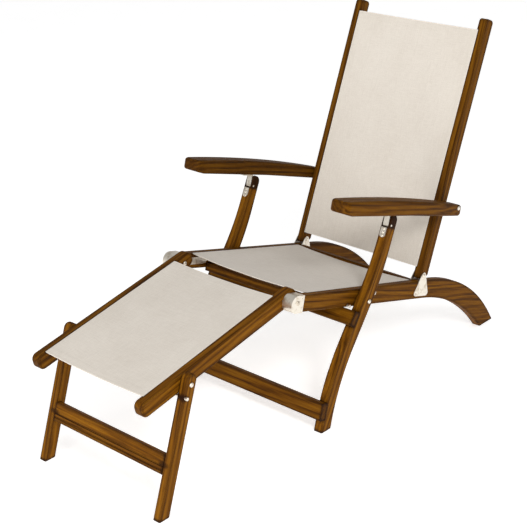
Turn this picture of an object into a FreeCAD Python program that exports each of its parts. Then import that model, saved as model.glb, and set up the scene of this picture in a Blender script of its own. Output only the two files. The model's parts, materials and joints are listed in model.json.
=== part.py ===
"""Folding deck chair: a hardwood frame, three stretched slings and a four-bar fold.

World frame: +Z up with the floor at 0, X across the chair, -Y towards the leg rest and +Y
towards the heels.  Left is the sitter's left, +X.  Lengths are millimetres, angles degrees.
Each left-hand piece is drawn once and mirrored to make its right-hand twin.
"""
import math
import os
import re

import FreeCAD
import Part
import Sketcher

DIMENSIONS = {
    # how the members stack across the chair, measured from its middle plane
    "rest_rail_in": 180.5, "rest_rail_thick": 29, "rest_leg_in": 210.2, "rest_leg_thick": 25.5,
    "rail_in": 212.2, "rail_thick": 29, "stile_in": 212.6, "stile_thick": 28.2,
    "leg_in": 243.8, "leg_thick": 29.8, "arm_in": 242.2, "arm_wide": 62,
    # pivots, and the link that is common to the legs and the back
    "rest_pivot_y": -200, "rest_pivot_up": 406, "leg_pivot_y": 60, "leg_pivot_up": 323,
    "back_pivot_y": 358, "back_pivot_up": 285, "link_y": 100, "link_up": 193,
    "rest_leg_pivot_y": -592, "rest_leg_pivot_up": 331,
    # slopes of the straight members
    "rest_slope": 10.96, "back_lean": 23.8, "arm_slope": 17.2,
    # seat rail: straight under the seat, then bent down into the heel
    "rail_front_y": -218, "rail_front_up": 430, "rail_chin_y": -230.2, "rail_chin_up": 387.2,
    "heel_knee_y": 615.7, "heel_knee_up": 195.3, "arch_y": 541.4, "arch_up": 157.3,
    "heel_back_y": 734.8, "heel_front_y": 664,
    "heel_round": 530, "arch_round": 600, "rail_nose_round": 21,
    # front leg: a lazy S from the foot up to the post under the arm
    "foot_front_y": -153, "foot_back_y": -112.5,
    "shin_front_y": -111.8, "shin_front_up": 137.4, "shin_back_y": -74.6, "shin_back_up": 122,
    "thigh_front_y": 97.8, "thigh_front_up": 409.6, "thigh_back_y": 119, "thigh_back_up": 374,
    "post_front_y": 166.8, "post_front_up": 547.7, "post_back_y": 193.8, "post_back_up": 534.2,
    "shin_round": 600, "thigh_round": 700, "post_back_round": 17, "post_front_round": 5,
    # back stile, along and in front of a line through the back pivot
    "stile_low": -12.3, "stile_high": 764, "stile_front": 12.3, "stile_back": -23.3,
    "stile_chamfer_up": 4, "stile_chamfer_back": -6, "stile_low_round": 12, "stile_top_round": 10,
    # armrest, along and above a line through its hinge
    "arm_nose": -258, "arm_tail": 316, "arm_under": 33.2, "arm_nose_under": 40,
    "arm_chamfer": -222, "arm_nose_top": 71.5,
    "arm_tail_top": 60, "arm_tail_under": 27, "arm_bow": 4800, "arm_nose_round": 20,
    "arm_taper": 60, "arm_tail_wide": 46,
    "arm_tail_round": 10, "arm_chamfer_round": 60, "arm_soft": 8,
    # leg rest rail, along and above a line through its pivot
    "rest_nose": -543.5, "rest_tail": 32, "rest_top": 24.5, "rest_bottom": -18.5,
    "rest_nose_round": 17, "rest_tail_round": 19,
    # leg rest leg
    "rest_foot_front_y": -730.3, "rest_foot_back_y": -695.2, "rest_knee_back_y": -567.2,
    "rest_knee_back_up": 351.3, "rest_knee_front_y": -598, "rest_knee_front_up": 362.4,
    "rest_knee_round": 15.8,
    # slings, and the rebates that they lie in
    "cloth_thick": 2, "cloth_gap": 0.3, "cloth_lap": 5.6, "rebate": 3,
    "seat_cloth_start": 86, "seat_cloth_long": 476, "rest_cloth_start": -512,
    "rest_cloth_long": 482, "back_cloth_start": 21, "back_cloth_long": 708,
    # cross members, each placed along the member it joins
    "seat_bar_along": 146, "seat_bar_under": -31, "seat_bar_thick": 22, "seat_bar_tall": 24,
    "heel_bar_along": 565, "heel_bar_thick": 20, "heel_bar_tall": 40,
    "back_low_bar": 75, "back_top_bar": 680, "back_bar_tall": 40, "back_bar_thick": 18,
    "rest_front_bar": -386, "rest_rear_bar": -120, "rest_bar_wide": 40, "rest_bar_thick": 18,
    "rest_bar_under": 8,
    "stretcher_thick": 22, "housing": 4, "upper_stretcher_start": 168, "upper_stretcher_tall": 42,
    "lower_stretcher_start": 38, "lower_stretcher_tall": 50,
    "rest_stretcher_start": 118, "rest_stretcher_tall": 52, "rest_stretcher_thick": 19,
    "groove_low": 9, "groove_pitch": 11, "groove_tall": 2.6, "groove_deep": 2,
    # dowels across the joints of the cross members
    "dowel_size": 4, "dowel_long": 32, "press_fit": 0.05,
    # ironmongery
    "plate_thick": 2, "bolt_size": 4, "run_fit": 0.08, "side_gap": 0.4, "head_size": 6.3,
    "head_tall": 3.4, "nut_size": 7.5, "nut_tall": 5, "washer_size": 9, "open_fit": 0.4,
    "arm_bolt_reach": 20, "bolt_seat": 3,
    "limit_y": 5, "limit_up": 322.5, "limit_size": 4, "limit_reach": 9, "pin_socket": 18,
    "stop_y": 95.6, "stop_up": 333, "stop_size": 6, "stop_reach": 24,
    "rest_stop_y": -614, "rest_stop_up": 302.3, "rest_stop_size": 4.5, "rest_stop_out": 6,
    "rest_stop_in": 14,
    "strap_wide": 18, "strap_thick": 3, "strap_eye": 7, "strap_foot": 36, "strap_front": 7,
    "fork_wide": 18.8, "fork_deep": 39.4, "hinge_pin_size": 3,
    "leaf_start": -69, "leaf_long": 29,
    "screw_size": 1.8, "screw_head": 3.8, "screw_head_tall": 1.2, "screw_long": 14,
    "cap_long": 47, "cap_tongue_long": 145, "cap_tongue_high": -12, "cap_tongue_low": -33,
    "cap_tongue_round": 9, "cap_round": 23,
    "plate_top_y": 364.3, "plate_top_up": 305.8, "plate_front_y": 301.8, "plate_front_up": 238.4,
    "plate_back_y": 378.8, "plate_back_up": 214.4, "plate_round": 9.4,
    # rounding of the long edges of the timber
    "soft": 4, "bar_soft": 2.5,
}
SAME_PLACE = 0.01

doc = FreeCAD.newDocument("deck_chair")
sheet = doc.addObject("Spreadsheet::Sheet", "Size")
for row, (alias, amount) in enumerate(DIMENSIONS.items(), start=1):
    sheet.set("A%d" % row, alias)
    sheet.set("B%d" % row, str(amount))
    sheet.setAlias("B%d" % row, alias)
doc.recompute()

ALIAS = re.compile(r"\b(%s)\b" % "|".join(sorted(DIMENSIONS, key=len, reverse=True)))
PIECES = []


# ---------------------------------------------------------------- expressions and frames
def value(text):
    """The number that an expression in the sheet's aliases comes to."""
    found = sheet.evalExpression(text)
    return float(getattr(found, "Value", found))


def bind(thing, target, text):
    """Bind a property of an object to an expression in the sheet's aliases."""
    thing.setExpression(target, ALIAS.sub(r"Size.\1", text))


def slope(rise, run):
    """The angle, as a plain number, of a line that rises by one expression over another."""
    return "(atan2(%s; %s) / 1 deg)" % (rise, run)


def spot(frame, along, out):
    """The world place, as two expressions, of a point given along and square to a frame."""
    y, up, angle = frame
    return ("(%s) + (%s) * cos(%s) - (%s) * sin(%s)" % (y, along, angle, out, angle),
            "(%s) + (%s) * sin(%s) + (%s) * cos(%s)" % (up, along, angle, out, angle))


WORLD = ("0", "0", "0")
SEAT = ("rail_front_y", "rail_front_up",
        "-" + slope("rail_front_up - heel_knee_up", "heel_knee_y - rail_front_y"))
BACK = ("back_pivot_y", "back_pivot_up", "90 - back_lean")
REST = ("rest_pivot_y", "rest_pivot_up", "rest_slope")
ARM = ("leg_pivot_y + link_y", "leg_pivot_up + link_up", "-arm_slope")
SHIN = ("foot_front_y", "0", slope("shin_front_up", "shin_front_y - foot_front_y"))
THIGH = ("shin_front_y", "shin_front_up",
         slope("thigh_front_up - shin_front_up", "thigh_front_y - shin_front_y"))
POST = ("post_front_y", "post_front_up",
        slope("post_front_up - thigh_front_up", "post_front_y - thigh_front_y"))
REST_LEG = ("rest_foot_front_y", "0",
            slope("rest_knee_front_up", "rest_knee_front_y - rest_foot_front_y"))

LEG_PIVOT = ("leg_pivot_y", "leg_pivot_up")
BACK_PIVOT = ("back_pivot_y", "back_pivot_up")
REST_PIVOT = ("rest_pivot_y", "rest_pivot_up")
REST_LEG_PIVOT = ("rest_leg_pivot_y", "rest_leg_pivot_up")
ARM_HINGE = (ARM[0], ARM[1])
ARM_BOLT = ("back_pivot_y + link_y", "back_pivot_up + link_up")


def name_for(kind):
    """A fresh object name for a helper shape."""
    return "%s_%d" % (kind, len(doc.Objects))


# ---------------------------------------------------------------- shapes in the document
def side_of(outline, i, radius):
    """The sketch line from one corner to the next, or an arc of a radius that bulges upwards."""
    start, end = [FreeCAD.Vector(value(a), value(b), 0)
                  for a, b in (outline[i], outline[(i + 1) % len(outline)])]
    if radius is None:
        return Part.LineSegment(start, end)
    chord = end - start
    reach = math.sqrt(value(radius) ** 2 - chord.Length ** 2 / 4)
    centre = (start + end) / 2 + FreeCAD.Vector(chord.y, -chord.x, 0).normalize() * reach
    circle = Part.Circle(centre, FreeCAD.Vector(0, 0, 1), value(radius))
    angles = [math.atan2(p.y - centre.y, p.x - centre.x) for p in (end, start)]
    return Part.ArcOfCircle(circle, *angles)


def drawn(body, role, outline, bows):
    """A closed sketch on one of a body's planes, its corners bound to the sheet.

    The side that starts at a corner numbered in bows is an arc of the radius given there.
    """
    plane = [o for o in body.Origin.OriginFeatures if o.Role == role][0]
    sketch = body.newObject("Sketcher::SketchObject", name_for("outline"))
    sketch.AttachmentSupport = [(plane, "")]
    sketch.MapMode = "FlatFace"
    count = len(outline)
    first = [2 if i in bows else 1 for i in range(count)]
    for i in range(count):
        sketch.addGeometry(side_of(outline, i, bows.get(i)), False)
    for i in range(count):
        after = (i + 1) % count
        sketch.addConstraint(Sketcher.Constraint("Coincident", i, 3 - first[i],
                                                 after, first[after]))
    for i, place in enumerate(outline):
        for kind, text in zip(("DistanceX", "DistanceY"), place):
            at = sketch.addConstraint(Sketcher.Constraint(kind, -1, 1, i, first[i],
                                                          value(text)))
            bind(sketch, "Constraints[%d]" % at, text)
    for i, radius in bows.items():
        at = sketch.addConstraint(Sketcher.Constraint("Radius", i, value(radius)))
        bind(sketch, "Constraints[%d]" % at, radius)
    return sketch


def profile(frame, outline, inner, thick, bows=None):
    """A body whose outline, along and square to a frame, is padded along +X."""
    body = doc.addObject("PartDesign::Body", name_for("body"))
    sketch = drawn(body, "YZ_Plane", outline, bows or {})
    pad = body.newObject("PartDesign::Pad", name_for("pad"))
    pad.Profile = sketch
    bind(pad, "Length", thick)
    place = "placement(vector(%s; %s; %s); rotation(vector(1; 0; 0); %s))"
    bind(body, "Placement", place % ((inner,) + frame))
    doc.recompute()
    return body


def edge_names(body, wanted):
    """Names of the tip's edges that a test on their two ends accepts."""
    found = []
    for number, edge in enumerate(body.Tip.Shape.Edges, start=1):
        ends = [vertex.Point for vertex in edge.Vertexes]
        if len(ends) == 2 and wanted(*ends):
            found.append("Edge%d" % number)
    return found


def rounded(body, names, radius):
    """Add a fillet to a body's named edges."""
    before = body.Tip
    fillet = body.newObject("PartDesign::Fillet", name_for("round"))
    fillet.Base = (before, names)
    bind(fillet, "Radius", radius)
    body.Tip = fillet
    doc.recompute()


def across(corner):
    """Test for the edge that runs across the chair through an outline's corner."""
    def wanted(start, end):
        return all(abs(p.y - value(corner[0])) < SAME_PLACE
                   and abs(p.z - value(corner[1])) < SAME_PLACE for p in (start, end))
    return wanted


def long_edges(thick, flat=None):
    """Test for the edges of a body's two side faces, leaving out those on a flat foot."""
    def wanted(start, end):
        on_side = any(abs(start.x - x) < SAME_PLACE and abs(end.x - x) < SAME_PLACE
                      for x in (0.0, value(thick)))
        on_foot = flat is not None and max(start.z, end.z) < value(flat) + SAME_PLACE
        return on_side and not on_foot
    return wanted


def timber(frame, outline, inner, thick, rounds=(), soft="soft", flat=None):
    """A shaped board: outline, rounded corners as (corner number, radius), soft edges."""
    body = profile(frame, outline, inner, thick)
    for corner, radius in rounds:
        rounded(body, edge_names(body, across(outline[corner])), radius)
    if soft:
        rounded(body, edge_names(body, long_edges(thick, flat)), soft)
    return body


def block(frame, low_x, wide, along, long, out, deep):
    """A box that starts at low_x and lies along and square to a frame."""
    box = doc.addObject("Part::Box", name_for("block"))
    y, up = spot(frame, along, out)
    bind(box, "Length", wide)
    bind(box, "Width", long)
    bind(box, "Height", deep)
    place = "placement(vector(%s; %s; %s); rotation(vector(1; 0; 0); %s))"
    bind(box, "Placement", place % (low_x, y, up, frame[2]))
    return box


def aim(thing, low_x, place, turn="90"):
    """Stand a round shape at a place in the YZ plane with its axis along X."""
    text = "placement(vector(%s; %s; %s); rotation(vector(0; 1; 0); %s))"
    bind(thing, "Placement", text % (low_x, place[0], place[1], turn))
    return thing


def rod(low_x, long, place, radius):
    """A round bar along +X."""
    bar = doc.addObject("Part::Cylinder", name_for("rod"))
    bind(bar, "Radius", radius)
    bind(bar, "Height", long)
    return aim(bar, low_x, place)


def dome(low_x, place, radius, tall, turn="90"):
    """Half an ellipsoid, flat at low_x, bulging along +X, or along -X when turned about."""
    cap = doc.addObject("Part::Ellipsoid", name_for("dome"))
    bind(cap, "Radius1", tall)
    bind(cap, "Radius2", radius)
    bind(cap, "Radius3", radius)
    cap.Angle1 = 0
    return aim(cap, low_x, place, turn)


def nut(low_x, place):
    """A hexagonal nut."""
    hexagon = doc.addObject("Part::Prism", name_for("nut"))
    hexagon.Polygon = 6
    bind(hexagon, "Circumradius", "nut_size")
    bind(hexagon, "Height", "nut_tall")
    return aim(hexagon, low_x, place)


def fused(*parts):
    """Several touching shapes as one solid."""
    whole = doc.addObject("Part::MultiFuse", name_for("fused"))
    whole.Shapes = list(parts)
    return whole


def group(*parts):
    """Separate solids kept together as one object."""
    whole = doc.addObject("Part::Compound", name_for("group"))
    whole.Links = list(parts)
    return whole


def cut(base, *tools):
    """A shape less its cutters."""
    less = doc.addObject("Part::Cut", name_for("cut"))
    less.Base = base
    less.Tool = tools[0] if len(tools) == 1 else group(*tools)
    return less


def mirrored(source):
    """The right-hand twin of a left-hand shape."""
    twin = doc.addObject("Part::Mirroring", name_for("mirror"))
    twin.Source = source
    twin.Normal = (1, 0, 0)
    return twin


def piece(label, shape):
    """Name a finished sub-part."""
    shape.Label = label
    PIECES.append(shape)


def pair(label, shape):
    """A left piece and its right twin, as two sub-parts."""
    piece(label + "_left", shape)
    piece(label + "_right", mirrored(shape))


def both(label, *shapes):
    """Like fasteners on both sides, kept as one sub-part of separate solids."""
    side = group(*shapes)
    piece(label, group(side, mirrored(side)))


# ---------------------------------------------------------------- fasteners and their holes
def hole(low_x, long, place, radius, fit="press_fit"):
    """A cutter along +X, wider than its pin by a fit."""
    return rod(low_x, long, place, "%s + %s" % (radius, fit))


def side_screw(face_x, place):
    """A screw driven inwards, along -X, with its head on a face."""
    shank = rod("%s - screw_long" % face_x, "screw_long", place, "screw_size")
    return fused(shank, dome(face_x, place, "screw_head", "screw_head_tall"))


def side_screw_hole(face_x, place):
    return hole("%s - screw_long" % face_x, "2 * screw_long", place, "screw_size")


def inside_screw(face_x, place):
    """A screw driven outwards, along +X, with its head on an inner face."""
    shank = rod(face_x, "screw_long", place, "screw_size")
    return fused(shank, dome(face_x, place, "screw_head", "screw_head_tall", "-90"))


def inside_screw_hole(face_x, place):
    return hole("%s - screw_long" % face_x, "2 * screw_long", place, "screw_size")


def raked(frame, low_x, along, out, turn, radius, long):
    """A round bar square to a frame: turn 0 points outwards, 180 inwards."""
    bar = doc.addObject("Part::Cylinder", name_for("raked"))
    y, up = spot(frame, along, out)
    bind(bar, "Radius", radius)
    bind(bar, "Height", long)
    place = "placement(vector(%s; %s; %s); rotation(vector(1; 0; 0); %s + %s))"
    bind(bar, "Placement", place % (low_x, y, up, frame[2], turn))
    return bar


def raked_dome(frame, low_x, along, out, turn):
    """A screw's head on a face that is square to a frame."""
    head = doc.addObject("Part::Ellipsoid", name_for("raked_dome"))
    y, up = spot(frame, along, out)
    bind(head, "Radius1", "screw_head_tall")
    bind(head, "Radius2", "screw_head")
    bind(head, "Radius3", "screw_head")
    head.Angle1 = 0
    place = "placement(vector(%s; %s; %s); rotation(vector(1; 0; 0); %s + %s))"
    bind(head, "Placement", place % (low_x, y, up, frame[2], turn))
    return head


def dowels(label, face_x, places):
    """Dowels across the joints at one face, on both sides of the chair."""
    low = "%s - dowel_long / 2" % face_x
    both(label, *[rod(low, "dowel_long", place, "dowel_size") for place in places])


def dowel_holes(face_x, places):
    """Cutters for a left-hand member's dowels, with room beyond the dowel's ends."""
    low = "%s - dowel_long / 2 - press_fit" % face_x
    return [hole(low, "dowel_long + 2 * press_fit", place, "dowel_size") for place in places]


def cross_bar(label, frame, half, along, long, out, deep, places, grooves=()):
    """A board from side to side, drilled for its dowels at both ends.

    Each groove is how far along the board a moulding is cut into its front.
    """
    bar = profile(frame, [("0", "0"), (long, "0"), (long, deep), ("0", deep)],
                  "-(%s)" % half, "2 * (%s)" % half)
    y, up = spot(frame, along, out)
    place = "placement(vector(-(%s); %s; %s); rotation(vector(1; 0; 0); %s))"
    bind(bar, "Placement", place % (half, y, up, frame[2]))
    doc.recompute()
    corners = [("0", "0"), (long, "0"), (long, deep), ("0", deep)]
    tests = [across(corner) for corner in corners]
    rounded(bar, edge_names(bar, lambda a, b: any(test(a, b) for test in tests)), "bar_soft")
    cutters = dowel_holes(half, places) if places else []
    cutters += [mirrored(drill) for drill in cutters]
    cutters += [block(frame, "-2 * (%s)" % half, "4 * (%s)" % half, "%s + %s" % (along, groove),
                      "groove_tall", "%s + %s - groove_deep" % (out, deep), "2 * groove_deep")
                for groove in grooves]
    piece(label, cut(bar, *cutters) if cutters else bar)


def sling(label, frame, inner, along, long, top):
    """A stretched panel with its edges in the rebates of the members beside it."""
    half = "(%s + cloth_lap)" % inner
    under = "%s - rebate + cloth_gap" % top
    piece(label, block(frame, "-" + half, "2 * " + half, along, long, under, "cloth_thick"))


def rebate(frame, inner, along, long, top):
    """The cutter for the step that a sling's edge lies in."""
    return block(frame, "%s - rebate" % inner, "rebate + cloth_lap + cloth_gap",
                 "%s - cloth_gap" % along, "%s + 2 * cloth_gap" % long,
                 "%s - rebate" % top, "2 * rebate")


# ---------------------------------------------------------------- seat frame
RAIL_OUT = "(rail_in + rail_thick)"
CAP_IN = "(rail_in - plate_thick)"
CAP_OUT = "(rail_in + rail_thick + plate_thick)"
BAR_MIDDLE = "seat_bar_along + seat_bar_thick / 2"
SEAT_DOWELS = [spot(SEAT, BAR_MIDDLE, "seat_bar_under - dowel_size - bar_soft")]
CAP_INNER_SCREWS = [spot(SEAT, "cap_long * 1.3", "(cap_tongue_high + cap_tongue_low) / 2"),
                    spot(SEAT, "cap_tongue_long - cap_tongue_round * 1.3",
                         "(cap_tongue_high + cap_tongue_low) / 2")]
CAP_OUTER_SCREWS = [spot(SEAT, "cap_long - 2 * screw_head", "-2.4 * screw_head"),
                    spot(SEAT, "cap_long - 2 * screw_head", "-9 * screw_head")]
PLATE_SCREWS = [("back_pivot_y - 28.4", "back_pivot_up - 35.3"),
                ("back_pivot_y + 0.9", "back_pivot_up - 41.5"),
                ("back_pivot_y - 40", "back_pivot_up - 46"),
                ("back_pivot_y + 8", "back_pivot_up - 58")]
PLATE_INNER_SCREWS = PLATE_SCREWS[1::2]
LIMIT = ("limit_y", "limit_up")
STOP = ("stop_y", "stop_up")


def seat_frame():
    """Seat rails, their metalwork, two cross rails and the seat sling."""
    outline = [("rail_front_y", "rail_front_up"), ("heel_knee_y", "heel_knee_up"),
               ("heel_back_y", "0"), ("heel_front_y", "0"), ("arch_y", "arch_up"),
               ("rail_chin_y", "rail_chin_up")]
    rounds = [(1, "heel_round"), (4, "arch_round"), (0, "rail_nose_round"),
              (5, "rail_nose_round")]
    rail = timber(WORLD, outline, "rail_in", "rail_thick", rounds, flat="0")
    through = ("%s - nut_tall" % CAP_IN, "rail_thick + 2 * plate_thick + 2 * nut_tall")
    cutters = [rebate(SEAT, "rail_in", "seat_cloth_start", "seat_cloth_long", "0"),
               hole(*through, REST_PIVOT, "bolt_size"),
               hole(*through, LEG_PIVOT, "bolt_size"),
               hole("%s - pin_socket" % RAIL_OUT, "2 * pin_socket", LIMIT, "limit_size"),
               hole("%s - pin_socket" % RAIL_OUT, "2 * pin_socket", STOP, "stop_size")]
    cutters += dowel_holes("rail_in", SEAT_DOWELS)
    cutters += [inside_screw_hole(CAP_IN, place)
                for place in CAP_INNER_SCREWS + PLATE_INNER_SCREWS]
    cutters += [side_screw_hole(CAP_OUT, place) for place in CAP_OUTER_SCREWS + PLATE_SCREWS]
    pair("seat_rail", cut(rail, *cutters))

    cross_bar("seat_front_cross_rail", SEAT, "rail_in", "seat_bar_along", "seat_bar_thick",
              "seat_bar_under - seat_bar_tall", "seat_bar_tall", SEAT_DOWELS)
    cross_bar("seat_rear_cross_rail", SEAT, CAP_IN, "heel_bar_along", "heel_bar_thick",
              "-heel_bar_tall", "heel_bar_tall", [])
    dowels("seat_dowels", "rail_in", SEAT_DOWELS)
    sling("seat_sling", SEAT, "rail_in", "seat_cloth_start", "seat_cloth_long", "0")
    rail_caps(rail)
    back_plates()
    seat_pivots()


def rail_caps(rail):
    """The metal cap on each rail's front end, with a tongue along the inner face."""
    deep = "(rail_front_up - rail_chin_up) / cos(%s) + plate_thick" % SEAT[2]
    blank = timber(SEAT, [("-plate_thick", "plate_thick"), ("cap_long", "plate_thick"),
                          ("cap_long", "-(%s)" % deep), ("-plate_thick", "-(%s)" % deep)],
                   CAP_IN, "rail_thick + 2 * plate_thick",
                   [(0, "cap_round"), (3, "cap_round")], soft=None)
    tongue = timber(SEAT, [("cap_long - cap_round / 2", "cap_tongue_high"),
                           ("cap_tongue_long", "cap_tongue_high"),
                           ("cap_tongue_long", "cap_tongue_low"),
                           ("cap_long - cap_round / 2", "cap_tongue_low")],
                    CAP_IN, "plate_thick",
                    [(1, "cap_tongue_round"), (2, "cap_tongue_round")], soft=None)
    through = ("%s - nut_tall" % CAP_IN, "rail_thick + 2 * plate_thick + 2 * nut_tall")
    cutters = [hole(*through, REST_PIVOT, "bolt_size")]
    cutters += [inside_screw_hole(CAP_IN, place) for place in CAP_INNER_SCREWS]
    cutters += [side_screw_hole(CAP_OUT, place) for place in CAP_OUTER_SCREWS]
    pair("rail_cap", cut(cut(fused(blank, tongue), rail), *cutters))
    both("rail_cap_screws",
         *([inside_screw(CAP_IN, place) for place in CAP_INNER_SCREWS]
           + [side_screw(CAP_OUT, place) for place in CAP_OUTER_SCREWS]))


def back_plates():
    """Tear-drop plates inside and outside each rail, which carry the back's pivot."""
    outline = [("plate_top_y", "plate_top_up"), ("plate_front_y", "plate_front_up"),
               ("plate_back_y", "plate_back_up")]
    rounds = [(0, "plate_round"), (1, "plate_round"), (2, "plate_round")]
    for side, face, places in (("outer", RAIL_OUT, PLATE_SCREWS),
                               ("inner", CAP_IN, PLATE_INNER_SCREWS)):
        plate = timber(WORLD, outline, face, "plate_thick", rounds, soft=None)
        holes = [hole("%s - plate_thick" % face, "3 * plate_thick", place, "screw_size")
                 for place in places]
        bore = hole("%s - plate_thick" % face, "3 * plate_thick", BACK_PIVOT, "bolt_size")
        pair("back_plate_%s" % side, cut(plate, bore, *holes))
    both("back_plate_screws", *([side_screw(CAP_OUT, place) for place in PLATE_SCREWS]
                                + [inside_screw(CAP_IN, place)
                                   for place in PLATE_INNER_SCREWS]))


def seat_pivots():
    """Bolts and pins that are fixed in the seat rails."""
    back_shank = rod(CAP_IN, "rail_thick + 2 * plate_thick", BACK_PIVOT, "bolt_size")
    both("back_pivot_bolts", fused(back_shank, dome(CAP_OUT, BACK_PIVOT, "head_size", "head_tall"),
                                   dome(CAP_IN, BACK_PIVOT, "head_size", "head_tall", "-90")))
    head_x = "leg_in + leg_thick + side_gap"
    leg_shank = rod("rail_in - nut_tall", "leg_in + leg_thick + side_gap - rail_in + nut_tall",
                    LEG_PIVOT, "bolt_size")
    both("leg_pivot_bolts", fused(leg_shank, dome(head_x, LEG_PIVOT, "head_size", "head_tall"),
                                  nut("rail_in - nut_tall", LEG_PIVOT)))
    washer = cut(rod(RAIL_OUT, "plate_thick", LEG_PIVOT, "washer_size"),
                 hole("rail_in", "leg_in", LEG_PIVOT, "bolt_size"))
    both("leg_pivot_washers", washer)
    for label, place, kind in (("leg_stop_pins", STOP, "stop"),
                               ("leg_limit_pins", LIMIT, "limit")):
        pin = rod("%s - pin_socket" % RAIL_OUT, "pin_socket + %s_reach" % kind, place,
                  kind + "_size")
        end = "%s + %s_reach" % (RAIL_OUT, kind)
        both(label, fused(pin, dome(end, place, kind + "_size", "head_tall / 2")))
    rest_x = "rest_rail_in - side_gap"
    rest_shank = rod(rest_x, "%s - %s" % (CAP_OUT, rest_x), REST_PIVOT, "bolt_size")
    both("leg_rest_pivot_bolts",
         fused(rest_shank, dome(CAP_OUT, REST_PIVOT, "head_size", "head_tall"),
               dome(rest_x, REST_PIVOT, "head_size", "head_tall", "-90")))


# ---------------------------------------------------------------- back
BACK_BAR_OUT = "-back_bar_thick"


def back_dowel(start):
    return spot(BACK, "%s + back_bar_tall / 2" % start, "-back_bar_thick / 2")


BACK_DOWELS = [back_dowel("back_low_bar"), back_dowel("back_top_bar")]


def back_frame():
    """Stiles, two spreaders behind the sling, and the back sling."""
    outline = [("stile_low", "stile_front"), ("stile_high", "stile_front"),
               ("stile_high", "stile_back"), ("stile_chamfer_up", "stile_back"),
               ("stile_low", "stile_chamfer_back")]
    rounds = [(0, "stile_low_round"), (1, "stile_top_round"), (2, "stile_top_round")]
    stile = timber(BACK, outline, "stile_in", "stile_thick", rounds, soft="soft")
    outer = "stile_in + stile_thick"
    cutters = [rebate(BACK, "stile_in", "back_cloth_start", "back_cloth_long", "stile_front"),
               hole("rail_in", "rail_thick", BACK_PIVOT, "bolt_size", "run_fit"),
               hole("%s - arm_bolt_reach" % outer, "2 * arm_bolt_reach", ARM_BOLT, "bolt_size",
                    "open_fit")]
    cutters += dowel_holes("stile_in", BACK_DOWELS)
    pair("back_stile", cut(stile, *cutters))
    for label, start, place in (("back_lower_spreader", "back_low_bar", BACK_DOWELS[0]),
                                ("back_upper_spreader", "back_top_bar", BACK_DOWELS[1])):
        cross_bar(label, BACK, "stile_in", start, "back_bar_tall", BACK_BAR_OUT,
                  "back_bar_thick", [place])
    dowels("back_dowels", "stile_in", BACK_DOWELS)
    sling("back_sling", BACK, "stile_in", "back_cloth_start", "back_cloth_long", "stile_front")


# ---------------------------------------------------------------- front legs
LEAF_SCREWS = 3


def leaf_screw(number):
    """How far along the post a hinge leaf's screw is."""
    return "leaf_start + leaf_long * (2 * %d + 1) / (2 * %d)" % (number, LEAF_SCREWS)


def front_legs():
    """The curved front legs, their stretchers and the hinge leaves on the posts."""
    outline = [("foot_front_y", "0"), ("shin_front_y", "shin_front_up"),
               ("thigh_front_y", "thigh_front_up"), ("post_front_y", "post_front_up"),
               ("post_back_y", "post_back_up"), ("thigh_back_y", "thigh_back_up"),
               ("shin_back_y", "shin_back_up"), ("foot_back_y", "0")]
    rounds = [(1, "shin_round"), (6, "shin_round"), (2, "thigh_round"), (5, "thigh_round"),
              (4, "post_back_round"), (3, "post_front_round")]
    leg = timber(WORLD, outline, "leg_in", "leg_thick", rounds, flat="0")
    middle = "(leg_in + leg_thick / 2)"
    cutters = [hole("rail_in", "arm_in", LEG_PIVOT, "bolt_size", "run_fit"),
               hole("rail_in", "arm_in", ARM_HINGE, "hinge_pin_size"),
               block(POST, "%s - fork_wide / 2" % middle, "fork_wide", "-fork_deep",
                     "2 * fork_deep", "-2 * fork_deep", "4 * fork_deep")]
    cutters += [raked(POST, middle, leaf_screw(n), "-screw_long", "0", "screw_size + press_fit",
                      "2 * screw_long") for n in range(LEAF_SCREWS)]
    half = "leg_in + leg_thick"
    for label, frame in (("upper_stretcher", THIGH), ("lower_stretcher", SHIN)):
        start, tall = label + "_start", label + "_tall"
        cutters.append(block(frame, "rail_in", "2 * arm_wide", start, tall, "-housing",
                             "stretcher_thick"))
        cross_bar(label, frame, half, start, tall, "-housing", "stretcher_thick", [])
    pair("front_leg", cut(leg, *cutters))
    end = "leaf_start + strap_wide / 2"
    leaf = fused(block(POST, "%s - strap_wide / 2" % middle, "strap_wide", end,
                       "leaf_long - strap_wide / 2", "0", "strap_thick"),
                 raked(POST, middle, end, "0", "0", "strap_wide / 2", "strap_thick"))
    holes = [raked(POST, middle, leaf_screw(n), "-screw_long", "0", "screw_size + press_fit",
                   "2 * screw_long") for n in range(LEAF_SCREWS)]
    pair("post_hinge_leaf", cut(leaf, *holes))
    both("post_hinge_screws",
         *[fused(raked(POST, middle, leaf_screw(n), "strap_thick - screw_long", "0", "screw_size",
                       "screw_long"),
                 raked_dome(POST, middle, leaf_screw(n), "strap_thick", "0"))
           for n in range(LEAF_SCREWS)])
    both("hinge_pins", rod("leg_in", "leg_thick", ARM_HINGE, "hinge_pin_size"))


# ---------------------------------------------------------------- arms
def strap_screw(number):
    """How far along the arm a strap's screw is."""
    return "-strap_front - strap_foot * %s / 4" % (2 * number + 1)


def tapered(body):
    """Cut the arm's outer side back towards its tail, on an arc tangent to that side."""
    narrowing = "(arm_wide - arm_tail_wide)"
    reach = "(arm_tail - arm_taper)"
    bow = "(%s ^ 2 + %s ^ 2) / (2 * %s)" % (reach, narrowing, narrowing)
    outline = [("arm_tail_wide", "arm_tail"), ("arm_wide", "arm_taper"),
               ("2 * arm_wide", "arm_taper"), ("2 * arm_wide", "arm_tail + arm_wide"),
               ("arm_tail_wide", "arm_tail + arm_wide")]
    before = body.Tip.Shape.Volume
    pocket = body.newObject("PartDesign::Pocket", name_for("taper"))
    pocket.Profile = drawn(body, "XY_Plane", outline, {0: bow})
    pocket.Type = "ThroughAll"
    pocket.Reversed = True
    body.Tip = pocket
    doc.recompute()
    if body.Tip.Shape.Volume >= before:
        raise RuntimeError("the arm's taper cut nothing")


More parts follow.
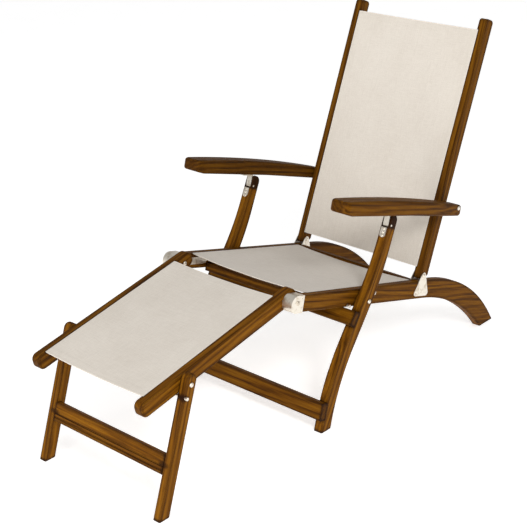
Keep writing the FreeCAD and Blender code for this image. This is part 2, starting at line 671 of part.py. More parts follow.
def armrests():
    """Each arm with its hinge strap, its screws and its rear bolt."""
    outline = [("arm_nose", "arm_nose_top"), ("arm_tail", "arm_tail_top"),
               ("arm_tail", "arm_tail_under"), ("arm_taper", "arm_under"),
               ("arm_chamfer", "arm_under"), ("arm_nose", "arm_nose_under")]
    body = profile(ARM, outline, "arm_in", "arm_wide", {0: "arm_bow"})
    tapered(body)
    nose = value("arm_nose")
    rounded(body, edge_names(body, lambda a, b: abs(a.y - nose) < SAME_PLACE
                             and abs(b.y - nose) < SAME_PLACE
                             and abs(a.x - b.x) < SAME_PLACE), "arm_nose_round")
    for corner, radius in ((1, "arm_tail_round"), (2, "arm_tail_round"),
                           (4, "arm_chamfer_round")):
        rounded(body, edge_names(body, across(outline[corner])), radius)

    def rim(start, end):
        along_x = abs(start.y - end.y) < SAME_PLACE and abs(start.z - end.z) < SAME_PLACE
        return not along_x or abs(start.y - nose) < SAME_PLACE
    rounded(body, edge_names(body, rim), "arm_soft")

    middle = "(leg_in + leg_thick / 2)"
    shank_x = "stile_in + stile_thick - arm_bolt_reach + side_gap"
    cutters = [hole("rail_in", "2 * arm_wide", ARM_BOLT, "bolt_size")]
    cutters += [raked(ARM, middle, strap_screw(n), "arm_under - strap_thick", "0",
                      "screw_size + press_fit", "screw_long + press_fit") for n in (0, 1)]
    arm = cut(body, *cutters)

    eye = rod("%s - strap_wide / 2" % middle, "strap_wide", ARM_HINGE, "strap_eye")
    plate = block(ARM, "%s - strap_wide / 2" % middle, "strap_wide", "-strap_front",
                  "strap_thick", "0", "arm_under")
    foot = block(ARM, "%s - strap_wide / 2" % middle, "strap_wide", "-strap_front - strap_foot",
                 "strap_foot + strap_thick", "arm_under - strap_thick", "strap_thick")
    drills = [raked(ARM, middle, strap_screw(n), "0", "0", "screw_size + press_fit",
                    "2 * arm_under") for n in (0, 1)]
    strap = cut(fused(eye, plate, foot), *drills,
                hole("leg_in", "leg_thick", ARM_HINGE, "hinge_pin_size", "run_fit"))
    screws = group(*[fused(raked(ARM, middle, strap_screw(n), "arm_under - strap_thick", "0",
                                 "screw_size", "screw_long"),
                           raked_dome(ARM, middle, strap_screw(n), "arm_under - strap_thick",
                                      "180")) for n in (0, 1)])
    face = "(arm_in + arm_tail_wide + bolt_seat)"
    bolt = fused(rod(shank_x, "%s - (%s)" % (face, shank_x), ARM_BOLT, "bolt_size"),
                 dome(face, ARM_BOLT, "head_size", "head_tall"))
    pair("armrest", arm)
    pair("arm_strap", strap)
    pair("arm_strap_screws", screws)
    pair("arm_rear_bolt", bolt)


# ---------------------------------------------------------------- leg rest
def rest_dowel(start):
    return spot(REST, "%s + rest_bar_wide / 2" % start, "rest_bar_under - rest_bar_thick / 2")


REST_DOWELS = [rest_dowel("rest_front_bar"), rest_dowel("rest_rear_bar")]
REST_LEG_OUT = "rest_leg_in + rest_leg_thick"


def leg_rest():
    """Leg rest rails, two hidden cross rails, the sling and the pivots of the legs."""
    outline = [("rest_nose", "rest_top"), ("rest_tail", "rest_top"),
               ("rest_tail", "rest_bottom"), ("rest_nose", "rest_bottom")]
    rounds = [(0, "rest_nose_round"), (1, "rest_tail_round"), (2, "rest_tail_round"),
              (3, "rest_nose_round")]
    rail = timber(REST, outline, "rest_rail_in", "rest_rail_thick", rounds)
    cutters = [rebate(REST, "rest_rail_in", "rest_cloth_start", "rest_cloth_long", "rest_top"),
               hole("rest_rail_in - rebate", "2 * rest_rail_thick", REST_PIVOT, "bolt_size",
                    "run_fit"),
               hole("rest_rail_in - rebate", "2 * rest_rail_thick", REST_LEG_PIVOT,
                    "bolt_size")]
    cutters += dowel_holes("rest_rail_in", REST_DOWELS)
    pair("leg_rest_rail", cut(rail, *cutters))
    for label, start, place in (("leg_rest_front_cross_rail", "rest_front_bar", REST_DOWELS[0]),
                                ("leg_rest_rear_cross_rail", "rest_rear_bar", REST_DOWELS[1])):
        cross_bar(label, REST, "rest_rail_in", start, "rest_bar_wide",
                  "rest_bar_under - rest_bar_thick", "rest_bar_thick", [place])
    dowels("leg_rest_dowels", "rest_rail_in", REST_DOWELS)
    sling("leg_rest_sling", REST, "rest_rail_in", "rest_cloth_start", "rest_cloth_long",
          "rest_top")
    head_x = "(%s + side_gap)" % REST_LEG_OUT
    shank = rod("rest_rail_in - nut_tall", "%s - rest_rail_in + nut_tall" % head_x,
                REST_LEG_PIVOT, "bolt_size")
    both("leg_rest_leg_bolts", fused(shank, nut("rest_rail_in - nut_tall", REST_LEG_PIVOT),
                                     dome(head_x, REST_LEG_PIVOT, "head_size", "head_tall")))


def leg_rest_legs():
    """The two short legs, their stretcher and the pins that stop them under the rails."""
    outline = [("rest_foot_front_y", "0"), ("rest_knee_front_y", "rest_knee_front_up"),
               ("rest_knee_back_y", "rest_knee_back_up"), ("rest_foot_back_y", "0")]
    rounds = [(1, "rest_knee_round"), (2, "rest_knee_round")]
    leg = timber(WORLD, outline, "rest_leg_in", "rest_leg_thick", rounds, flat="0")
    stop = ("rest_stop_y", "rest_stop_up")
    place = spot(REST_LEG, "rest_stretcher_start + rest_stretcher_tall / 2",
                 "-rest_stretcher_thick / 2")
    cutters = [hole("rest_rail_in", "2 * rest_rail_thick", REST_LEG_PIVOT, "bolt_size",
                    "run_fit"),
               hole("rest_rail_in", "3 * rest_rail_thick", stop, "rest_stop_size")]
    cutters += dowel_holes("rest_leg_in", [place])
    pair("leg_rest_leg", cut(leg, *cutters))
    cross_bar("leg_rest_stretcher", REST_LEG, "rest_leg_in", "rest_stretcher_start",
              "rest_stretcher_tall", "-rest_stretcher_thick", "rest_stretcher_thick", [place],
              ["groove_low", "groove_low + groove_pitch"])
    dowels("leg_rest_leg_dowels", "rest_leg_in", [place])
    pin = rod("rest_leg_in - rest_stop_in", "rest_leg_thick + rest_stop_in + rest_stop_out",
              stop, "rest_stop_size")
    both("leg_rest_stop_pins", pin)


# ---------------------------------------------------------------- check and write
def faults():
    """Every object that failed to recompute and every sub-part without a sound shape."""
    found = ["%s is %s" % (o.Label, state) for o in doc.Objects for state in o.State
             if state in ("Invalid", "Error")]
    for shape in PIECES:
        if shape.Shape.isNull() or not shape.Shape.isValid() or not shape.Shape.Solids:
            found.append("%s has no sound shape" % shape.Label)
    return found


seat_frame()
back_frame()
front_legs()
armrests()
leg_rest()
leg_rest_legs()
doc.recompute()
problems = faults()
if problems:
    raise RuntimeError("; ".join(problems))

os.makedirs("parts", exist_ok=True)
for shape in PIECES:
    shape.Shape.exportStep("parts/%s.step" % shape.Label)
print(len(PIECES), "sub-parts written")
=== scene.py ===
"""The visual model of a folding deck chair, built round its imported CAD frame.

Lengths are metres in the CAD's own frame: +Z up, -Y towards the leg rest, +X the sitter's left.
"""
import json
import math

import bmesh
import bpy
import numpy as np
from mathutils import Matrix, Vector


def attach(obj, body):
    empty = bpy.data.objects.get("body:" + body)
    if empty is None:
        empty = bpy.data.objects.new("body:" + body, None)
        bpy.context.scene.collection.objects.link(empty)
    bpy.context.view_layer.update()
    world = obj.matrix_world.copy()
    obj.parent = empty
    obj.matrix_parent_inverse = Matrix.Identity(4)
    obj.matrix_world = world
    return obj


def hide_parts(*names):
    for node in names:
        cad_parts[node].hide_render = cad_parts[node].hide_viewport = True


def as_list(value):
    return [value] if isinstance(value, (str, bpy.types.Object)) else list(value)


MM = 0.001
ACROSS = Vector((1.0, 0.0, 0.0))

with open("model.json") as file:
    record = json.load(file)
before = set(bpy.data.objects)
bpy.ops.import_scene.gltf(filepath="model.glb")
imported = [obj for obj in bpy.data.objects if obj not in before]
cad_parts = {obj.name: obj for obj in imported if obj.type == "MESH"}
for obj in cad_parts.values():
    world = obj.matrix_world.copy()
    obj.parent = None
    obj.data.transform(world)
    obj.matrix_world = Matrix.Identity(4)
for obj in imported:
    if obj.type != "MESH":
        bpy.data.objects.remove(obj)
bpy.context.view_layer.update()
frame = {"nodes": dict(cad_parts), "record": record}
NODES = frame["nodes"]
BODY_OF = {node: body for body, members in frame["record"]["behaviour"]["bodies"].items()
           for node in members}


# ---------------------------------------------------------------- camera, light and floor
CAMERA_PLACE = (2.3138, -2.5225, 1.8963)
CAMERA_AZIMUTH = math.radians(43.315)
CAMERA_HEIGHT = math.radians(23.804)
CAMERA_ROLL = math.radians(-2.276)
LENS_MM = 90.0
SENSOR_MM = 36.0


def add_camera():
    """A long lens at the front left of the chair, looking a little down."""
    level = math.cos(CAMERA_HEIGHT)
    back = Vector((math.sin(CAMERA_AZIMUTH) * level, -math.cos(CAMERA_AZIMUTH) * level,
                   math.sin(CAMERA_HEIGHT)))
    right = Vector((math.cos(CAMERA_AZIMUTH), math.sin(CAMERA_AZIMUTH), 0.0))
    turned = Matrix.Rotation(CAMERA_ROLL, 3, back) @ right
    rows = Matrix((turned, back.cross(turned), back))
    camera = bpy.data.objects.new("camera", bpy.data.cameras.new("camera"))
    camera.data.lens = LENS_MM
    camera.data.sensor_width = SENSOR_MM
    camera.matrix_world = Matrix.Translation(CAMERA_PLACE) @ rows.transposed().to_4x4()
    bpy.context.scene.collection.objects.link(camera)
    bpy.context.scene.camera = camera


def add_softbox(name, place, target, size, watts):
    """A square area light that faces a point on the chair."""
    light = bpy.data.lights.new(name, "AREA")
    light.size = size
    light.energy = watts
    lamp = bpy.data.objects.new(name, light)
    lamp.location = place
    lamp.rotation_euler = (Vector(target) - Vector(place)).to_track_quat("-Z", "Y").to_euler()
    bpy.context.scene.collection.objects.link(lamp)


SKY_LIGHT = 0.50     # the sky's strength where it lights the chair
SKY_SEEN = 1.0       # the sky's strength where the camera sees it
WHITE = (1.0, 1.0, 1.0, 1.0)
KEY = {"place": (2.7, -1.5, 2.7), "target": (0.0, 0.2, 0.4), "size": 0.8, "watts": 50.0}
FILL = {"place": (0.6, -3.4, 1.0), "target": (0.0, 0.0, 0.5), "size": 2.0, "watts": 50.0}
FLOOR_REACH = 14.0
FLOOR_GLOW = 0.5     # the floor gives off a little light, so that it stays near white


def add_studio():
    """A white room: an even sky, a key light at the camera's right, and a fill in front."""
    scene = bpy.context.scene
    scene.view_settings.view_transform = "Standard"
    world = bpy.data.worlds.new("studio")
    world.use_nodes = True
    nodes, links = world.node_tree.nodes, world.node_tree.links
    sky = nodes["Background"]
    sky.inputs["Color"].default_value = WHITE
    brightness = nodes.new("ShaderNodeMapRange")
    brightness.inputs["To Min"].default_value = SKY_LIGHT
    brightness.inputs["To Max"].default_value = SKY_SEEN
    links.new(nodes.new("ShaderNodeLightPath").outputs["Is Camera Ray"],
              brightness.inputs["Value"])
    links.new(brightness.outputs["Result"], sky.inputs["Strength"])
    scene.world = world
    add_softbox("key_light", **KEY)
    add_softbox("fill_light", **FILL)
    floor = bpy.data.meshes.new("floor")
    corners = [(x * FLOOR_REACH, y * FLOOR_REACH, 0)
               for x, y in ((-1, -1), (1, -1), (1, 1), (-1, 1))]
    floor.from_pydata(corners, [], [(0, 1, 2, 3)])
    ground = bpy.data.objects.new("floor", floor)
    bpy.context.scene.collection.objects.link(ground)
    floor.materials.append(pale_floor())


# ---------------------------------------------------------------- materials
class Tree:
    """A new node material, with short calls to add nodes and wire them up."""

    def __init__(self, name):
        """Make the material and find its shader."""
        self.material = bpy.data.materials.new(name)
        self.material.use_nodes = True
        self.nodes = self.material.node_tree.nodes
        self.links = self.material.node_tree.links
        self.shader = self.nodes["Principled BSDF"]

    def wire(self, socket, given):
        """Feed a socket from another socket, or set it to a value."""
        if isinstance(given, bpy.types.NodeSocket):
            self.links.new(given, socket)
        else:
            socket.default_value = given

    def add(self, kind, settings=(), **inputs):
        """A node with its settings, and its inputs given as values or other sockets."""
        node = self.nodes.new("ShaderNode" + kind)
        for name, setting in dict(settings).items():
            setattr(node, name, setting)
        for name, given in inputs.items():
            self.wire(node.inputs[name.replace("_", " ")], given)
        return node

    def finish(self, **inputs):
        """Set the shader's own inputs and hand the material back."""
        for name, given in inputs.items():
            self.wire(self.shader.inputs[name.replace("_", " ")], given)
        return self.material

    def ramp(self, amount, *stops):
        """A colour or a grey that changes along an amount from 0 to 1."""
        node = self.add("ValToRGB", Fac=amount)
        points = node.color_ramp.elements
        while len(points) < len(stops):
            points.new(0.5)
        for point, (place, colour) in zip(points, stops):
            point.position = place
            grey = not hasattr(colour, "__len__")
            point.color = (colour,) * 3 + (1.0,) if grey else tuple(colour) + (1.0,)
        return node.outputs["Color"]

    def maths(self, operation, first, second=0.0):
        """One sum of two amounts."""
        node = self.add("Math", {"operation": operation})
        self.wire(node.inputs[0], first)
        self.wire(node.inputs[1], second)
        return node.outputs[0]

    def mixed(self, amount, first, second, blend="MIX"):
        """Two colours mixed by an amount."""
        node = self.add("MixRGB", {"blend_type": blend}, Fac=amount)
        self.wire(node.inputs[1], first)
        self.wire(node.inputs[2], second)
        return node.outputs[0]

    def turned(self, along, shift=(0.0, 0.0, 0.0)):
        """Object coordinates, turned so that a direction on the piece becomes Z."""
        turn = along.rotation_difference(Vector((0.0, 0.0, 1.0))).to_euler()
        place = self.add("TexCoord").outputs["Object"]
        return self.add("Mapping", Vector=place, Rotation=turn, Location=shift).outputs[0]

    def stretched(self, place, across, along):
        """Coordinates scaled by one number across the grain and another along it."""
        return self.add("Mapping", Vector=place, Scale=(across, across, along)).outputs[0]

    def noise(self, place, detail=2.0, distortion=0.0, scale=1.0):
        """Smooth noise at coordinates that are already scaled."""
        return self.add("TexNoise", Vector=place, Scale=scale, Detail=detail,
                        Distortion=distortion).outputs[0]


def pale_floor():
    """A near-white studio floor with a very faint mottle."""
    tree = Tree("studio_floor")
    mottle = tree.noise(tree.add("TexCoord").outputs["Object"], 4.0, scale=9.0)
    shade = tree.ramp(mottle, (0.3, 0.93), (0.7, 0.96))
    return tree.finish(Base_Color=shade, Roughness=0.9, Emission_Color=WHITE,
                       Emission_Strength=FLOOR_GLOW)


WOOD_DARK = (0.048, 0.0155, 0.0008)
WOOD_MIDDLE = (0.152, 0.053, 0.0018)
WOOD_LIGHT = (0.262, 0.104, 0.0050)
WOOD_EDGE = (0.018, 0.0055, 0.0008)
BANDS_SHARE = 0.20
STREAKS_SHARE = 0.46
FIBRES_SHARE = 0.34


def timber(name, along, seed, tone_and_painted_shade=1.0):
    """Oiled hardwood: growth bands, streaks, pores, dark edges and end grain."""
    tree = Tree(name)
    shift = (0.37 * seed, 0.61 * seed, 0.83 * seed)
    place = tree.turned(along, shift)
    sway = tree.noise(tree.stretched(place, 14.0, 3.0), 2.0)
    bent = tree.add("VectorMath", {"operation": "MULTIPLY_ADD"})
    tree.wire(bent.inputs[0], sway)
    tree.wire(bent.inputs[1], (0.016, 0.012, 0.0))
    tree.wire(bent.inputs[2], place)
    bands = tree.add("TexWave", {"wave_type": "BANDS", "bands_direction": "DIAGONAL"},
                     Vector=tree.stretched(bent.outputs[0], 1.0, 0.04), Scale=34.0,
                     Distortion=5.0, Detail=2.0, Detail_Scale=2.2).outputs["Fac"]
    streaks = tree.noise(tree.stretched(bent.outputs[0], 170.0, 5.0), 4.0, 0.3)
    fibres = tree.noise(tree.stretched(bent.outputs[0], 620.0, 16.0), 3.0)
    pores = tree.ramp(tree.noise(tree.stretched(place, 1500.0, 42.0), 1.0),
                      (0.60, 0.0), (0.70, 1.0))
    tint = tree.maths("ADD", tree.maths("MULTIPLY", bands, BANDS_SHARE),
                      tree.maths("MULTIPLY", streaks, STREAKS_SHARE))
    tint = tree.maths("ADD", tint, tree.maths("MULTIPLY", fibres, FIBRES_SHARE))
    colour = tree.ramp(tint, (0.30, WOOD_DARK), (0.48, WOOD_MIDDLE), (0.70, WOOD_LIGHT))
    colour = tree.mixed(tree.maths("MULTIPLY", pores, 0.55), colour, WOOD_DARK + (1.0,))
    # The part's tone multiplies the colour. For many parts this holds painted light and shade as
    # well as the wood's own tone.
    colour = tree.mixed(1.0, colour, (tone_and_painted_shade, tone_and_painted_shade, tone_and_painted_shade, 1.0), "MULTIPLY")
    facing = tree.add("VectorMath", {"operation": "DOT_PRODUCT"})
    tree.wire(facing.inputs[0], tree.add("TexCoord").outputs["Normal"])
    tree.wire(facing.inputs[1], along)
    end_grain = tree.ramp(tree.maths("ABSOLUTE", facing.outputs["Value"]),
                          (0.75, 0.0), (0.98, 0.55))
    colour = tree.mixed(end_grain, colour, WOOD_DARK + (1.0,))
    inner = tree.add("AmbientOcclusion", {"inside": True, "only_local": True, "samples": 6},
                     Distance=9.0 * MM).outputs["AO"]
    edge = tree.ramp(inner, (0.60, 0.97), (0.94, 0.0))
    colour = tree.mixed(edge, colour, WOOD_EDGE + (1.0,))
    rough = tree.ramp(tree.maths("ADD", fibres, tree.maths("MULTIPLY", pores, 0.3)),
                      (0.3, 0.46), (0.8, 0.66))
    height = tree.maths("SUBTRACT", tree.maths("ADD", tree.maths("MULTIPLY", fibres, 0.5),
                                               tree.maths("MULTIPLY", streaks, 0.5)), pores)
    bump = tree.add("Bump", Height=height, Strength=0.35, Distance=0.3 * MM)
    return tree.finish(Base_Color=colour, Roughness=rough, Normal=bump.outputs[0],
                       Specular_IOR_Level=0.05)


METAL_BRIGHT = (0.82, 0.76, 0.66)
METAL_DULL = (0.62, 0.54, 0.43)


def satin_metal(name, seed, bright=METAL_BRIGHT, dull=METAL_DULL):
    """Satin nickel: brushed, slightly clouded, darker in random clouds."""
    tree = Tree(name)
    place = tree.turned(ACROSS, (0.29 * seed, 0.17 * seed, 0.53 * seed))
    clouds = tree.noise(tree.stretched(place, 70.0, 70.0), 2.0, 0.3)
    brushed = tree.noise(tree.stretched(place, 2600.0, 120.0), 1.0)
    colour = tree.ramp(clouds, (0.34, dull), (0.52, bright))
    rough = tree.ramp(tree.maths("ADD", tree.maths("MULTIPLY", clouds, 0.6),
                                 tree.maths("MULTIPLY", brushed, 0.4)), (0.3, 0.30), (0.7, 0.46))
    bump = tree.add("Bump", Height=brushed, Strength=0.12, Distance=0.05 * MM)
    return tree.finish(Base_Color=colour, Roughness=rough, Normal=bump.outputs[0], Metallic=1.0)


CLOTH_LIGHT = (0.765, 0.705, 0.625)
CLOTH_SHADE = (0.655, 0.590, 0.510)
YARN_PITCH = 1.3 * MM


def woven(name, along, tint=1.0, yarn=YARN_PITCH):
    """Plain-weave outdoor cloth: warp and weft over and under, with slubs and soft soiling."""
    tree = Tree(name)
    place = tree.turned(along)
    split = tree.add("SeparateXYZ", Vector=place)
    turns = 2.0 * math.pi / yarn
    half = tree.maths("MULTIPLY", split.outputs["X"], turns / 2.0)
    other = tree.maths("MULTIPLY", split.outputs["Z"], turns / 2.0)
    warp = tree.maths("SINE", half)
    weft = tree.maths("SINE", other)
    over = tree.maths("MULTIPLY", warp, weft)
    ribs = tree.maths("ADD", tree.maths("ABSOLUTE", warp), tree.maths("ABSOLUTE", weft))
    height = tree.maths("ADD", tree.maths("MULTIPLY", over, 0.35),
                        tree.maths("MULTIPLY", ribs, 0.5))
    slubs = tree.noise(tree.stretched(place, 700.0, 40.0), 2.0)
    cross_slubs = tree.noise(tree.stretched(place, 45.0, 800.0), 2.0)
    clouds = tree.noise(tree.stretched(place, 7.0, 5.0), 4.0, 0.5)
    shade = tree.maths("ADD", tree.maths("MULTIPLY", slubs, 0.35),
                       tree.maths("MULTIPLY", cross_slubs, 0.35))
    shade = tree.maths("ADD", shade, tree.maths("MULTIPLY", clouds, 0.30))
    colour = tree.ramp(shade, (0.34, tuple(tint * c for c in CLOTH_SHADE)),
                       (0.62, tuple(tint * c for c in CLOTH_LIGHT)))
    # Painted shade: the colour is darkened in the hollows between the yarns.
    yarn_gap_shade = tree.ramp(ribs, (0.25, 0.80), (0.95, 1.0))
    colour = tree.mixed(1.0, colour, yarn_gap_shade, "MULTIPLY")
    bump = tree.add("Bump", Height=height, Strength=0.4, Distance=0.25 * MM)
    return tree.finish(Base_Color=colour, Roughness=0.88, Normal=bump.outputs[0],
                       Sheen_Weight=0.25, Sheen_Roughness=0.5, Specular_IOR_Level=0.25)


# ---------------------------------------------------------------- shapes and places
def points_of(node):
    """The corners of a CAD node's mesh."""
    return np.array([corner.co for corner in NODES[node].data.vertices], float)


def grain_of(node):
    """The longest direction of a CAD node, which its grain follows."""
    points = points_of(node)
    lowest, highest = points.min(0), points.max(0)
    if highest[0] - lowest[0] > max(highest[1] - lowest[1], highest[2] - lowest[2]):
        return ACROSS.copy()
    spread = np.linalg.svd(points[:, 1:] - points[:, 1:].mean(0), full_matrices=False)[2][0]
    return Vector((0.0, spread[0], spread[1])).normalized()


def add_piece(name, points, faces, body, slot, material, smooth=True):
    """A mesh piece in the row frame that rides on a body."""
    mesh = bpy.data.meshes.new(name)
    mesh.from_pydata([tuple(p) for p in points], [], faces)
    mesh.update()
    mesh.materials.append(material)
    if smooth:
        mesh.polygons.foreach_set("use_smooth", [True] * len(mesh.polygons))
    thing = bpy.data.objects.new(name, mesh)
    bpy.context.scene.collection.objects.link(thing)
    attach(thing, body)
    return thing


class Panel:
    """Where a stretched CAD panel lies: its middle, its directions and its sizes."""

    def __init__(self, node):
        """Measure the panel's mesh."""
        points = points_of(node)
        self.middle = Vector((points.max(0) + points.min(0)) / 2)
        flat = points[:, 1:] - np.array(self.middle)[1:]
        long = np.linalg.svd(flat, full_matrices=False)[2][0]
        long = long if long[0] > 0 else -long
        self.along = Vector((0.0, long[0], long[1])).normalized()
        self.normal = Vector((0.0, -self.along.z, self.along.y))
        self.half_wide = float(np.abs(points[:, 0]).max())
        self.half_long = float(np.abs(flat @ long).max())
        self.half_thick = float(np.abs(flat @ np.array(self.normal)[1:]).max())

    def at(self, x, along, out):
        """The point at a place across, along and square to the panel."""
        return self.middle + x * ACROSS + along * self.along + out * self.normal


CLOTH = 0.55 * MM
HEM = 24.0 * MM
HEM_RISE = 0.35 * MM
EDGE_CORD = 1.35 * MM
COLUMNS = 72
ROWS = 120
CROWD_ACROSS = 0.45
CROWD_ALONG = 0.75
CORD_STEPS = 40


def cloth_lift(panel, x, along, sag):
    """How far the cloth's middle surface stands from the panel's own."""
    side = min(1.0, abs(x) / (panel.half_wide - 6.0 * MM))
    drop = sag * (1.0 - side ** 2) * (1.0 + 0.18 * (along / panel.half_long) ** 4)
    from_end = panel.half_long - abs(along)
    ridge = HEM_RISE / (1.0 + math.exp((from_end - HEM) / (0.8 * MM)))
    waver = 0.25 * MM * math.sin(11.0 * x / panel.half_wide) * math.sin(3.0 + 70.0 * along)
    return panel.half_thick - CLOTH - drop + ridge + waver * (1.0 - side ** 2)


def spaced(half, count, crowd):
    """Places from -half to half, closer together near the two ends."""
    steps = [2.0 * number / count - 1.0 for number in range(count + 1)]
    return [half * ((1.0 - crowd) * step + crowd * math.sin(step * math.pi / 2))
            for step in steps]


def stretched_sheet(name, panel, sag, body, slot, material):
    """One closed cloth: two faces a thread apart, joined all round by a narrow rim."""
    xs = spaced(panel.half_wide, COLUMNS, CROWD_ACROSS)
    ys = spaced(panel.half_long, ROWS, CROWD_ALONG)
    points, faces = [], []
    for side in (1.0, -1.0):
        for along in ys:
            for x in xs:
                points.append(panel.at(x, along, cloth_lift(panel, x, along, sag) + side * CLOTH))
    wide = len(xs)
    layer = wide * len(ys)
    for row in range(len(ys) - 1):
        for column in range(wide - 1):
            a = row * wide + column
            top = (a, a + 1, a + 1 + wide, a + wide)
            faces.append(top)
            faces.append(tuple(layer + corner for corner in reversed(top)))
    rim = (list(range(wide))
           + [row * wide + wide - 1 for row in range(1, len(ys))]
           + [(len(ys) - 1) * wide + column for column in reversed(range(wide - 1))]
           + [row * wide for row in reversed(range(1, len(ys) - 1))])
    for here, there in zip(rim, rim[1:] + rim[:1]):
        faces.append((here, layer + here, layer + there, there))
    return add_piece(name, points, faces, body, slot, material)


def tube_along(path, radius, sides=10):
    """The points and faces of a round cord along a path of points."""
    points, faces = [], []
    for at, here in enumerate(path):
        ahead = path[min(at + 1, len(path) - 1)] - path[max(at - 1, 0)]
        side = ahead.orthogonal().normalized()
        up = ahead.normalized().cross(side)
        for turn in range(sides):
            angle = 2.0 * math.pi * turn / sides
            points.append(here + radius * (math.cos(angle) * side + math.sin(angle) * up))
    for ring in range(len(path) - 1):
        for turn in range(sides):
            after = (turn + 1) % sides
            faces.append((ring * sides + turn, ring * sides + after,
                          (ring + 1) * sides + after, (ring + 1) * sides + turn))
    last = (len(path) - 1) * sides
    faces.append(tuple(reversed(range(sides))))
    faces.append(tuple(range(last, last + sides)))
    return points, faces


def joined(parts):
    """Several (points, faces) lists as one."""
    points, faces = [], []
    for some_points, some_faces in parts:
        start = len(points)
        points += some_points
        faces += [tuple(start + corner for corner in face) for face in some_faces]
    return points, faces


def stitch(middle, forward, up, long, wide, tall):
    """One raised stitch: a six-sided thread with pointed ends."""
    side = forward.cross(up)
    shape = [(-0.5, 0.0, 0.0), (-0.3, 0.5, 0.25), (-0.3, 0.0, 1.0), (-0.3, -0.5, 0.25),
             (0.3, 0.5, 0.25), (0.3, 0.0, 1.0), (0.3, -0.5, 0.25), (0.5, 0.0, 0.0)]
    points = [middle + a * long * forward + b * wide * side + c * tall * up for a, b, c in shape]
    faces = [(0, 1, 2), (0, 2, 3), (0, 3, 1), (1, 4, 5, 2), (2, 5, 6, 3), (3, 6, 4, 1),
             (7, 5, 4), (7, 6, 5), (7, 4, 6)]
    return points, faces


STITCH_PITCH = 3.6 * MM
STITCH_LONG = 2.7 * MM
STITCH_WIDE = 0.7 * MM
STITCH_TALL = 0.35 * MM


def stitch_row(panel, sag, start, end):
    """Stitches between two (x, along) places on the cloth's upper face."""
    reach = Vector((end[0] - start[0], end[1] - start[1]))
    count = int(reach.length / STITCH_PITCH)
    forward = (reach.x * ACROSS + reach.y * panel.along).normalized()
    for number in range(count):
        part = (number + 0.5) / count
        x, along = start[0] + part * reach.x, start[1] + part * reach.y
        top = cloth_lift(panel, x, along, sag) + CLOTH
        yield stitch(panel.at(x, along, top), forward, panel.normal,
                     STITCH_LONG, STITCH_WIDE, STITCH_TALL)


HELD_BY = {"back_sling": ["back_stile_left", "back_stile_right"],
           "seat_sling": ["seat_rail_left", "seat_rail_right"],
           "leg_rest_sling": ["leg_rest_rail_left", "leg_rest_rail_right"]}
SAG = {"back_sling": 5.0 * MM, "seat_sling": 6.0 * MM, "leg_rest_sling": 5.0 * MM}


def add_sling(node, name, sag):
    """A stretched sling with corded sides, rolled ends and rows of stitches."""
    body, panel = BODY_OF[node], Panel(node)
    slot = node.replace("sling", "cloth")
    cloth = woven(name + "_weave", panel.along)
    sheet = stretched_sheet(name, panel, sag, body, slot, cloth)
    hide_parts(node)
    side = panel.half_wide - EDGE_CORD
    ends = panel.half_long - EDGE_CORD
    deep = panel.half_thick - 2.0 * CLOTH
    cords = []
    for sign in (-1.0, 1.0):
        path = [panel.at(sign * side, along, deep) for along in spaced(ends, CORD_STEPS, 0.0)]
        cords.append(tube_along(path, EDGE_CORD))
        path = [panel.at(x, sign * ends, cloth_lift(panel, x, sign * ends, sag) - CLOTH)
                for x in spaced(side, CORD_STEPS, 0.0)]
        cords.append(tube_along(path, EDGE_CORD))
    # The edge rolls use the same cloth, made lighter by the 1.22 tint. This is a painted highlight
    # for the bright lines along the sling's edges.
    edging = add_piece(name + "_edge_rolls", *joined(cords), body, slot,
                       woven(name + "_edge_weave_painted_highlight", panel.along, 1.22))
    rows = []
    inner = side - 12.0 * MM
    for sign in (-1.0, 1.0):
        for back_from_end in (6.0 * MM, HEM - 3.0 * MM):
            at = sign * (panel.half_long - back_from_end)
            rows += stitch_row(panel, sag, (-side, at), (side, at))
        rows += stitch_row(panel, sag, (sign * inner, -ends), (sign * inner, ends))
    thread = add_piece(name + "_stitches", *joined(rows), body, slot,
                       woven(name + "_thread", panel.along, 0.93, 0.4 * MM), smooth=False)
    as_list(HELD_BY[node])


# ---------------------------------------------------------------- screws
def loose_parts(node):
    """The separate solids of a CAD node, each as an array of its corners."""
    shape = bmesh.new()
    shape.from_mesh(NODES[node].data)
    bmesh.ops.remove_doubles(shape, verts=shape.verts, dist=0.01 * MM)
    waiting, parts = set(shape.verts), []
    while waiting:
        found = [waiting.pop()]
        for corner in found:
            for edge in corner.link_edges:
                other = edge.other_vert(corner)
                if other in waiting:
                    waiting.remove(other)
                    found.append(other)
        parts.append(np.array([corner.co for corner in found], float))
    shape.free()
    parts.sort(key=lambda part: tuple(np.round(part.mean(0), 4)))
    return parts


def screw_axis(part):
    """A screw's head centre, the way its head faces, and the head's radius and height."""
    middle = part.mean(0)
    axis = np.linalg.svd(part - middle, full_matrices=False)[2][0]
    along = (part - middle) @ axis
    off = np.linalg.norm((part - middle) - np.outer(along, axis), axis=1)
    if off[along > 0].max() < off[along < 0].max():
        axis, along = -axis, -along
    radius = off.max()
    seat = along[off > 0.9 * radius].min()
    line = part[off < radius / 2].mean(0)
    centre = line + axis * (seat - (line - middle) @ axis)
    return Vector(centre), Vector(axis), float(radius), float(along.max() - seat)


def lathe(rings, sides):
    """A turned shape from (radius, height) rings about Z, closed at both ends."""
    points, faces = [], []
    for radius, height in rings:
        for turn in range(sides):
            angle = 2.0 * math.pi * turn / sides
            points.append(Vector((radius * math.cos(angle), radius * math.sin(angle), height)))
    for ring in range(len(rings) - 1):
        for turn in range(sides):
            after = (turn + 1) % sides
            faces.append((ring * sides + turn, ring * sides + after,
                          (ring + 1) * sides + after, (ring + 1) * sides + turn))
    last = (len(rings) - 1) * sides
    faces.append(tuple(reversed(range(sides))))
    faces.append(tuple(range(last, last + sides)))
    return points, faces


DOME_STEPS = 18
HEAD_SIDES = 48
RECESS_HALF = 0.13       # half the recess's width, as a share of the head's radius
RECESS_REACH = 0.62      # how far out it runs, as a share of the head's radius
RECESS_DEEP = 0.55       # its depth at the middle, as a share of the head's height


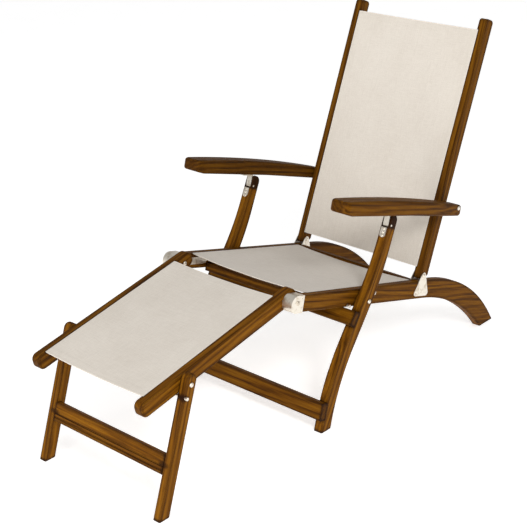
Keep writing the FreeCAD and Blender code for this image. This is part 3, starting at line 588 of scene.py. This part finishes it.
def cross_head(radius, height):
    """A domed screw head with a cross recess, seated on Z = 0."""
    rings = [(radius, 0.0)]
    for step in range(DOME_STEPS + 1):
        angle = 0.5 * math.pi * step / DOME_STEPS
        rings.append((max(radius * math.cos(angle), 0.02 * radius), height * math.sin(angle)))
    points, faces = lathe(rings, HEAD_SIDES)
    slot_half, slot_reach = RECESS_HALF * radius, RECESS_REACH * radius
    for point in points:
        span = math.hypot(point.x, point.y)
        in_slot = min(abs(point.x), abs(point.y)) < slot_half and span < slot_reach
        if in_slot and point.z > 0.3 * height:
            point.z -= RECESS_DEEP * height * (1.0 - 0.5 * span / slot_reach)
    return points, faces


SCREW_SLOT = "screw_steel"
SHANK_SHARE = 0.45       # the shank's radius, as a share of the head's
SHANK_SIDES = 16
TURN_EACH = 1.1          # how much further each screw is turned than the last, in radians
FIRST_SCREW_SEED = 7


def add_screws(node):
    """Detailed screws in place of a CAD node of plain ones."""
    shapes = []
    for number, part in enumerate(loose_parts(node)):
        centre, axis, radius, height = screw_axis(part)
        turn = axis.to_track_quat("Z", "Y").to_matrix() @ Matrix.Rotation(TURN_EACH * number, 3, "Z")
        depth = float((np.array(centre) - part).dot(np.array(axis)).max())
        shank = radius * SHANK_SHARE
        body = lathe([(0.1 * shank, -depth), (shank, -0.8 * depth), (shank, 0.2 * height)],
                     SHANK_SIDES)
        for points, faces in (cross_head(radius, height), body):
            shapes.append(([centre + turn @ point for point in points], faces))
    made = add_piece(node + "_cross_heads", *joined(shapes), BODY_OF[node], SCREW_SLOT,
                     satin_metal(node + "_metal", FIRST_SCREW_SEED + len(shapes)))
    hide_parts(node)


# ---------------------------------------------------------------- finishes of the CAD nodes
# Per-part multipliers on the wood colour. They are partly each part's own tone and partly painted
# light and shade for how each part is lit, so mirrored twins differ; the right arm, for example, is
# painted darker than the left.
PART_TONE_AND_PAINTED_SHADE = {"armrest_left": 0.74, "armrest_right": 0.52, "back_stile_left": 0.80,
         "back_stile_right": 0.74, "seat_rail_left": 0.86, "seat_rail_right": 0.72,
         "upper_stretcher": 0.78, "lower_stretcher": 0.78, "leg_rest_rail_right": 0.72,
         "seat_front_cross_rail": 0.80, "seat_rear_cross_rail": 0.80}
DOWEL_TONE = 1.2
METAL_WORDS = ("bolt", "screw", "pin", "plate", "cap", "strap", "leaf", "washer")


def finish_nodes():
    """Give every CAD node that stays in view its own timber or metal."""
    for seed, node in enumerate(sorted(NODES)):
        name = node + "_finish"
        if any(word in node for word in METAL_WORDS):
            made = satin_metal(name, seed)
        elif "dowel" in node:
            made = timber(name, ACROSS, seed, DOWEL_TONE)
        else:
            made = timber(name, grain_of(node), seed, PART_TONE_AND_PAINTED_SHADE.get(node, 1.0))
        for place in NODES[node].material_slots:
            place.material = made


add_camera()
add_studio()
finish_nodes()
for sling_node in HELD_BY:
    add_sling(sling_node, sling_node + "_cloth", SAG[sling_node])
for screw_node in sorted(node for node in NODES if "screws" in node):
    add_screws(screw_node)
